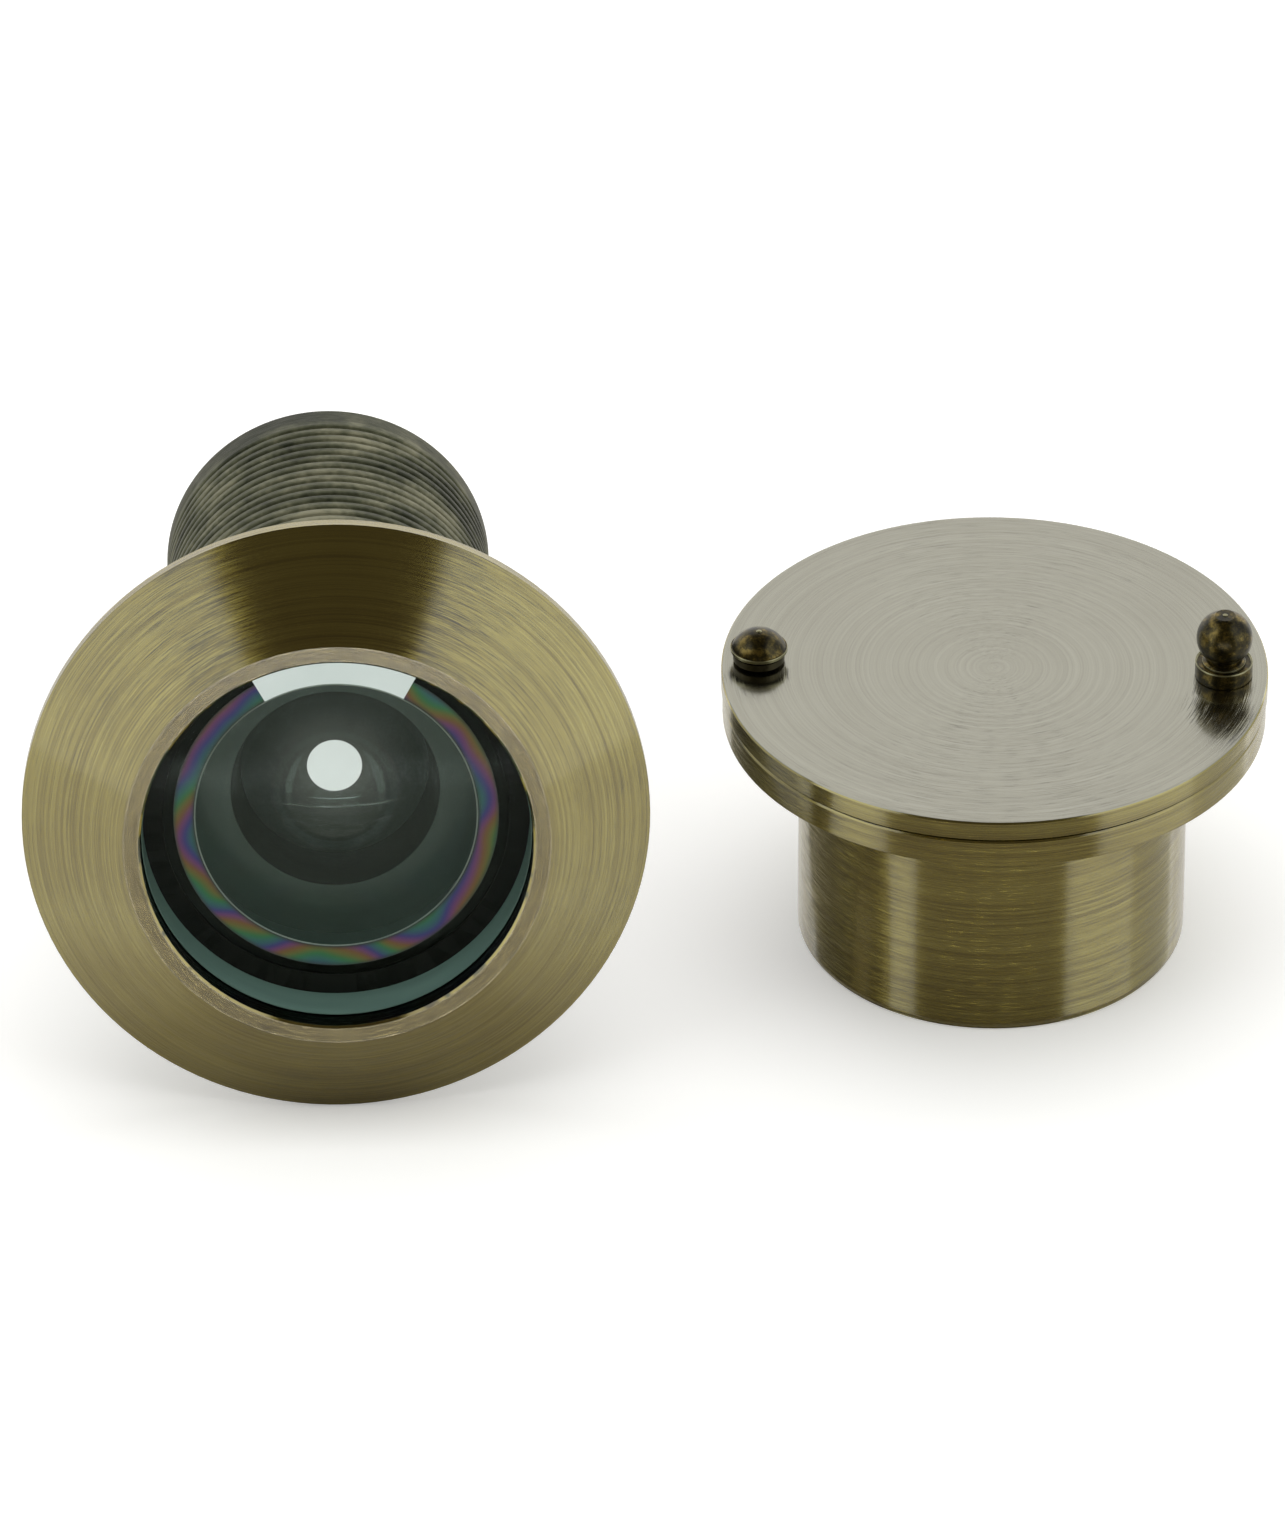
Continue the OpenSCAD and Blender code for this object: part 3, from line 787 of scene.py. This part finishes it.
# The disc and its halo glow: painted light standing in for the light that the lenses bring in
# from the far end, bright in the middle and fading outwards.
def bright_disc():
    f = Turned("sight_disc", outside)
    cloud = f.noise(f.place * 500.0, 3.0)
    bright = f.blend(cloud, (0.75, 0.77, 0.75), (0.82, 0.84, 0.82))
    halo = (1 - f.radius * (1.0 / halo_r)).clamped().power(2.0)
    dim = f.blend(halo * (0.7 + cloud * 0.6), (0.007, 0.009, 0.008), (0.12, 0.125, 0.112))
    colour = f.blend(f.radius.above(sight_r), bright, dim)
    return f.metal(Base_Color=(0.005, 0.005, 0.005), Roughness=0.6, Specular_IOR_Level=0.1,
                   Emission_Color=colour, Emission_Strength=1.0)


film_inner, film_outer = 9.75 * MM, 11.15 * MM
sight_r, halo_r = 1.9 * MM, 6.5 * MM
teal_edge = tinted_edge("teal_edge", (0.14, 0.24, 0.21), (0.22, 0.36, 0.32))
frosted_back = tinted_edge("frosted_back", (0.028, 0.066, 0.058), (0.050, 0.104, 0.092))
film = rainbow_film()
painted_edge_glint = tinted_edge("painted_edge_glint", (0.10, 0.15, 0.135), (0.55, 0.66, 0.62))
glare = white_glare()
sight = bright_disc()

# %% Rings and the bright disc behind the glass
SKIN = 0.03 * MM  # how far a coloured ring stands off the glass that it colours


def ring_piece(name, outline, material, closed=True):
    bm = bmesh.new()
    turn_outline(bm, outline, closed=closed)
    return finish_piece(name, bm, material, "outside_half", outside.matrix)


def flat_ring(outer_r, inner_r, low, high):
    return [(inner_r, low), (outer_r, low), (outer_r, high), (inner_r, high)]


RIM_BAND = 0.02 * MM  # points this close to the glass's largest radius are its rim
glass_edge_top = max(a for a, r in outside.places("front_lens") if r > glass_r - RIM_BAND)
print(f"the glass rim is {(glass_top - glass_edge_top) / MM:.2f} mm below its dome")
ring_piece("glass_edge", [
    (glass_r - SKIN, glass_back + SKIN), (glass_r - SKIN, glass_edge_top),
    (glass_r - 3 * SKIN, glass_edge_top), (glass_r - 3 * SKIN, glass_back + SKIN),
], teal_edge)
film_z = glass_back + SKIN
ring_piece("rainbow_ring", flat_ring(film_outer, film_inner, film_z, film_z + SKIN), film)
# Painted highlight lines round the edge of the hollow.
ring_piece("hollow_edge_glint", flat_ring(film_inner - SKIN, film_inner - 4 * SKIN, film_z,
                                    film_z + SKIN), painted_edge_glint)
GLARE_HALF = math.radians(29)
bm = bmesh.new()
glare_outline = [(film_inner, film_z + 2 * SKIN), (glass_r - 4 * SKIN, film_z + 2 * SKIN),
                 (glass_r - 4 * SKIN, film_z + 3 * SKIN), (film_inner, film_z + 3 * SKIN)]
turn_outline(bm, glare_outline, closed=True, steps=40, start=math.pi / 2 - GLARE_HALF,
             sweep=2 * GLARE_HALF)
finish_piece("film_glare", bm, glare, "outside_half", outside.matrix)
hollow2_r = 7.2 * MM  # radius of the hollow in the second lens
ring_piece("frosted_ring", flat_ring(lens2_r - SKIN, hollow2_r, lens2_back + SKIN,
                                     lens2_back + 2 * SKIN), frosted_back)
ring_piece("frosted_wall", flat_ring(lens2_r - SKIN, lens2_r - 3 * SKIN, lens2_back + 3 * SKIN,
                                     glass_back - SKIN), frosted_back)
SIGHT_DEPTH = 14.4 * MM  # depth below the lip where the lenses would show the far end
sight_z = lip_z - SIGHT_DEPTH
ring_piece("sight_disc", [(0, sight_z), (halo_r, sight_z), (halo_r, sight_z - 4 * SKIN),
                          (0, sight_z - 4 * SKIN)], sight, closed=False)

# %% [markdown]
# ## The table, the light and the camera
# Small shiny things are shot in a light tent: bright walls at both sides, a softer one
# behind, and a dim gap in front where the camera stands, with a faint card low in it. The
# bezel and the sleeve show exactly that as light zones and one dark wedge. A thin tube low
# in front leaves glints in the glass. The light from above lights the pieces but isn't
# mirrored in them, since it would fill the dark wedge. The table is plain and pale.

# %% Table
table_z = cad_box[0].z
TABLE_SIZE = 3.0
TABLE_GLOSS = 0.6  # how much of the walls the table mirrors into the metal


def table_finish():
    """Nearly white to the eye. In the metal's reflections it is darker and glossy."""
    f = Finish("table_finish")
    seen = f.node("ShaderNodeLightPath", output="Is Camera Ray")
    mirrored = f.node("ShaderNodeLightPath", output="Is Glossy Ray")
    place = f.node("ShaderNodeTexCoord", output="Object")
    grain = f.noise(place * 40.0, 2.0)
    white = f.blend(grain, (0.90, 0.90, 0.90), (0.92, 0.92, 0.92))
    colour = f.blend(seen, (0.50, 0.47, 0.37), white)
    matt = f.node("ShaderNodeBsdfPrincipled", None, {
        "Base Color": colour, "Roughness": 0.9, "Emission Strength": 1.0,
        "Emission Color": f.blend(seen, (0, 0, 0), (0.34, 0.34, 0.34))})
    gloss = f.node("ShaderNodeBsdfAnisotropic", None, {"Color": (1, 1, 1), "Roughness": 0.12})
    facing = f.node("ShaderNodeLayerWeight", None, {"Blend": 0.5}, output="Facing")
    share = mirrored * TABLE_GLOSS * ((facing - 0.1) * 3.3).clamped()
    return f.end(f.node("ShaderNodeMixShader", None, {0: share, 1: matt, 2: gloss}))


bm = bmesh.new()
bmesh.ops.create_grid(bm, x_segments=8, y_segments=8, size=TABLE_SIZE / 2)
table_mesh = bpy.data.meshes.new("table")
bm.to_mesh(table_mesh)
bm.free()
table_mesh.materials.append(table_finish())
table = bpy.data.objects.new("table", table_mesh)
table.location = (0, 0, table_z)
bpy.context.scene.collection.objects.link(table)
print(f"table at {table_z / MM:.2f} mm")

# %% Lights
TENT = 0.5  # distance of the tent's walls from the middle


def wall(name, place, target, width, height, radiance, colour=(1, 1, 1), in_mirrors=True):
    """A soft panel of light that faces its target."""
    light = bpy.data.lights.new(name, "AREA")
    light.shape = "RECTANGLE"
    light.size, light.size_y = width, height
    light.energy = radiance * math.pi * width * height
    light.color = colour
    panel = bpy.data.objects.new(name, light)
    panel.location = place
    facing = Vector(target) - Vector(place)
    panel.rotation_euler = facing.to_track_quat("-Z", "Y").to_euler()
    panel.visible_glossy = in_mirrors
    bpy.context.scene.collection.objects.link(panel)


middle = (cad_box[0] + cad_box[1]) / 2
for side in (-1, 1):
    for reach, radiance in ((-TENT / 2, 0.92), (TENT / 2, 0.5)):
        place = (middle.x + side * TENT, middle.y + reach, table_z + TENT)
        wall(f"side_wall_{side}_{reach}", place, (middle.x, place[1], place[2]),
             TENT, 2 * TENT, radiance, (0.96, 1.0, 1.0))
# name, distance from the middle, height above the table, width, height, radiance
for name, reach, height, width, tall, radiance in (
    ("back_wall", TENT, 0.31, 2.4 * TENT, 0.62, 0.84),
    ("front_card", -TENT, 0.06, 0.8 * TENT, 0.12, 0.38),
    ("front_tube", -0.97 * TENT, 0.035, 0.9 * TENT, 0.006, 9.0),
):
    place = (middle.x, middle.y + reach, table_z + height)
    wall(name, place, (middle.x, middle.y, place[2]), width, tall, radiance)
SKY = 0.9  # height of the light from above, and its width
top = (middle.x, middle.y, table_z + SKY)
wall("sky_light", top, middle, SKY, SKY, 2.1, in_mirrors=False)

world = bpy.data.worlds.new("studio")
world.use_nodes = True
world.node_tree.nodes["Background"].inputs["Color"].default_value = (0.085, 0.072, 0.038, 1)
bpy.context.scene.world = world
bpy.context.scene.view_settings.view_transform = "Standard"
print("light tent: split side walls, a back wall, a front card and tube, a top light")

# %% [markdown]
# ## The camera
# A long lens from far off keeps circles close to true ellipses.

# %% Camera
LOOK_DOWN = math.radians(34.55)
DISTANCE = 1.00083
FOCAL_SHARE = 14000 / 1519  # focal length as a share of the picture's height
SENSOR = 36.0
aim = Vector((-24.46, 19.73, 0)) * MM + Vector((0, 0, table_z))

lens = bpy.data.cameras.new("camera")
lens.sensor_width = SENSOR
lens.lens = FOCAL_SHARE * SENSOR
lens.clip_start = 0.05
lens.clip_end = 10
camera = bpy.data.objects.new("camera", lens)
away = Vector((0, -math.cos(LOOK_DOWN), math.sin(LOOK_DOWN)))
camera.location = aim + away * DISTANCE
camera.rotation_euler = (-away).to_track_quat("-Z", "Y").to_euler()
bpy.context.scene.collection.objects.link(camera)
bpy.context.scene.camera = camera
print(f"camera {DISTANCE:.2f} m away, looking down {math.degrees(LOOK_DOWN):.1f} degrees")
